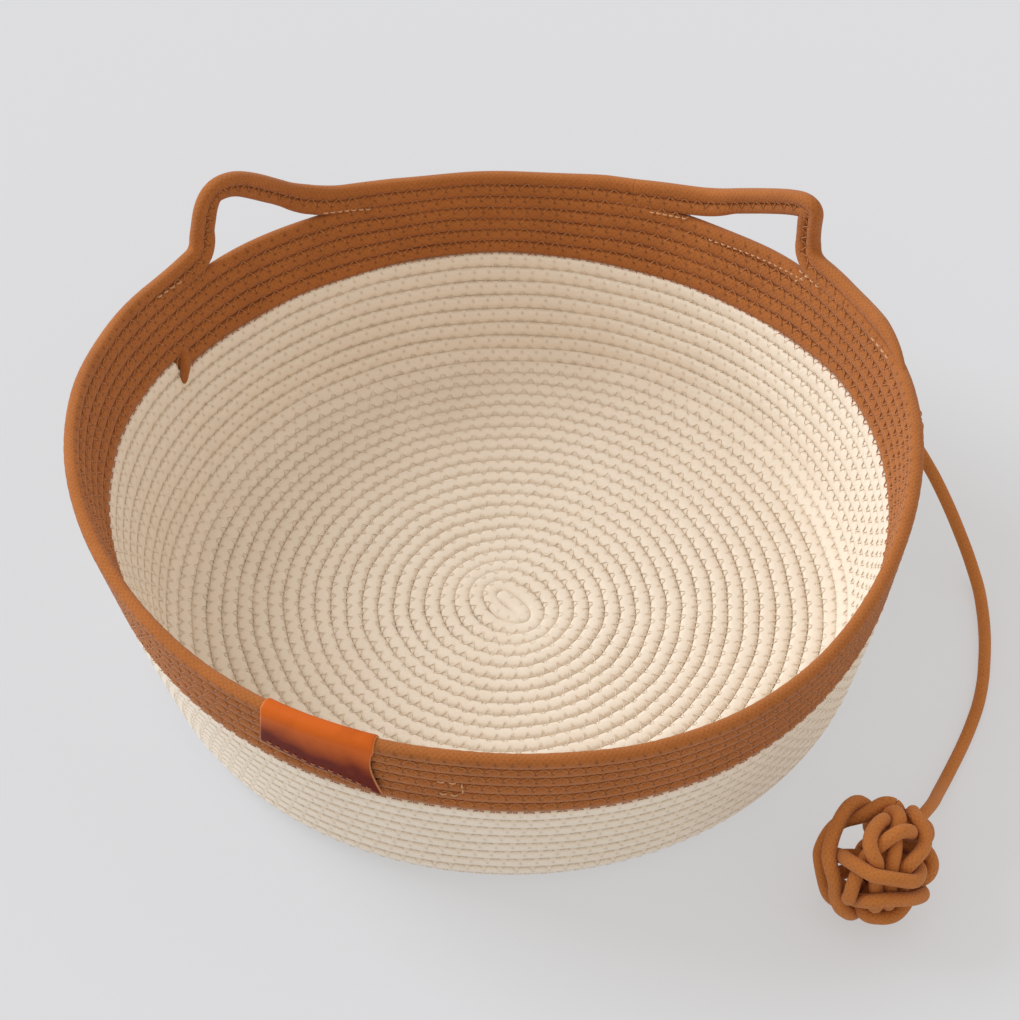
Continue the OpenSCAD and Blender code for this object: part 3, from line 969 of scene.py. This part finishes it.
def leather_material(name, dark, light, raw):
    """Waxed leather: slow mottling, painted shade that darkens it low down, fine grain, and pale raw
    edges.
    """
    def build(tree, shader):
        grain = node(tree, "ShaderNodeTexVoronoi", Scale=900.0)
        coords = node(tree, "ShaderNodeTexCoord")
        link(tree, coords.outputs["Object"], grain.inputs["Vector"])
        mottle = math_node(tree, "MULTIPLY_ADD", noise(tree, 60.0, 4.0), 1.1, -0.2)
        # painted shade: the leather is mixed towards its dark colour towards its lower edges
        low = node(tree, "ShaderNodeAttribute", attribute_name="low")
        darker = math_node(tree, "MULTIPLY", low.outputs["Fac"], 1.4)
        painted_low_shade = math_node(tree, "SUBTRACT", 0.58, darker)
        body = mixed(tree, math_node(tree, "ADD", mottle, painted_low_shade), dark, light)
        edge = node(tree, "ShaderNodeAttribute", attribute_name="edge")
        worn = math_node(tree, "POWER", edge.outputs["Fac"], 3.0)
        link(tree, mixed(tree, worn, body, raw), shader.inputs["Base Color"])
        height = math_node(tree, "ADD", grain.outputs["Distance"], noise(tree, 260.0, 3.0))
        bumped(tree, shader, height, 0.22, 0.0003)
        shader.inputs["Roughness"].default_value = 0.45
        shader.inputs["Specular IOR Level"].default_value = 0.08
    return material(name, light, build)


# The third colour of each rope is painted shade in its needle holes.
cream = rope_material("cream_rope", (0.76, 0.65, 0.52), (0.92, 0.86, 0.77), (0.60, 0.47, 0.34),
                      0.15, 0.04, 0.10)
brown = rope_material("brown_rope", (0.16, 0.042, 0.008), (0.53, 0.186, 0.046),
                      (0.09, 0.026, 0.008), 0.14, 0.07, 0.25)
toy = rope_material("toy_rope", (0.22, 0.064, 0.013), (0.64, 0.240, 0.062),
                    (0.13, 0.036, 0.008), 0.10, 0.07, 0.25)
cream_thread = thread_material("cream_thread", (0.80, 0.69, 0.55))
brown_thread = thread_material("brown_thread", (0.50, 0.20, 0.065))
tack_thread = thread_material("tack_thread", (0.66, 0.38, 0.20))
tab_thread_look = thread_material("tab_thread", (0.42, 0.16, 0.06))
# the leather's dark colour serves both the mottling and the painted shade low down
leather = leather_material("waxed_leather", (0.13, 0.010, 0.001), (0.60, 0.125, 0.016),
                           (0.66, 0.30, 0.13))


def dress(piece, look, body, slot, *nodes):
    piece.data.materials.append(look)
    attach(piece, body)
    if nodes:
        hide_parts(*nodes)


dress(floor_rope, cream, "basket", "cream_rope", "floor_coil")
dress(wall_rope, cream, "basket", "cream_rope", "wall_coil")
dress(band_rope, brown, "basket", "brown_rope", "band_coil")
dress(tail, brown, "basket", "brown_rope", "band_start_tail")
dress(rim_front, brown, "basket", "brown_rope", "rim_front_row")
dress(back_upper, brown, "basket", "brown_rope", "rim_back_rows")
dress(back_lower, brown, "basket", "brown_rope", "rim_back_rows")
dress(left_outer, brown, "basket", "brown_rope", "left_ear_outer_rope")
dress(left_inner, brown, "basket", "brown_rope", "left_ear_inner_rope")
dress(right_outer, brown, "basket", "brown_rope", "right_ear_outer_rope")
dress(right_inner, brown, "basket", "brown_rope", "right_ear_inner_rope")
dress(floor_thread, cream_thread, "basket", "cream_thread", "floor_seam")
dress(wall_thread, cream_thread, "basket", "cream_thread", "wall_seam")
dress(band_thread, brown_thread, "basket", "brown_thread", "band_seam")
dress(left_thread, brown_thread, "basket", "brown_thread", "left_ear_seam")
dress(back_thread, brown_thread, "basket", "brown_thread", "rim_back_seam")
dress(right_thread, brown_thread, "basket", "brown_thread", "right_ear_seam")
dress(foot_tack_thread, tack_thread, "basket", "tack_thread", "ear_foot_tacks")
dress(merge_tack_thread, tack_thread, "basket", "tack_thread", "ear_merge_tacks")
dress(tab, leather, "basket", "leather", "leather_tab")
dress(tab_thread, tab_thread_look, "basket", "tab_thread", "tab_stitching")
dress(hanger, toy, "basket", "toy_rope", "hanger_loop")
dress(knot, toy, "toy", "toy_rope", "cord_knot")
for strand in ball_pieces:
    dress(strand, toy, "toy", "toy_rope", "toy_ball")
dress(cord, toy, "toy", "toy_rope", "toy_cord")

# ---------------------------------------------------------------- floor and light


def add_stage():
    """A plain pale floor, which glows a little so that shadows on it stay faint."""
    bpy.ops.mesh.primitive_plane_add(size=12, location=(0, 0, 0))
    floor = bpy.context.object
    floor.name = "floor_plane"
    look = bpy.data.materials.new("floor")
    look.use_nodes = True
    shader = look.node_tree.nodes["Principled BSDF"]
    shader.inputs["Base Color"].default_value = (0.27, 0.285, 0.322, 1)
    shader.inputs["Roughness"].default_value = 1.0
    shader.inputs["Specular IOR Level"].default_value = 0.0
    shader.inputs["Emission Color"].default_value = (1, 1, 1, 1)
    shader.inputs["Emission Strength"].default_value = 0.43
    floor.data.materials.append(look)


def add_light():
    world = bpy.data.worlds.new("world")
    bpy.context.scene.world = world
    world.use_nodes = True
    world.node_tree.nodes["Background"].inputs["Color"].default_value = (1, 0.905, 0.79, 1)
    world.node_tree.nodes["Background"].inputs["Strength"].default_value = 0.78
    data = bpy.data.lights.new("window", "SUN")
    data.energy = 1.95
    data.angle = math.radians(34)
    data.color = (0.96, 1, 1.04)
    lamp = bpy.data.objects.new("window", data)
    lamp.rotation_euler = Vector((1, -0.5, -0.72)).to_track_quat("-Z", "Y").to_euler()
    bpy.context.scene.collection.objects.link(lamp)


bpy.context.scene.view_settings.view_transform = "Standard"
bpy.context.scene.view_settings.look = "None"
add_stage()
add_light()
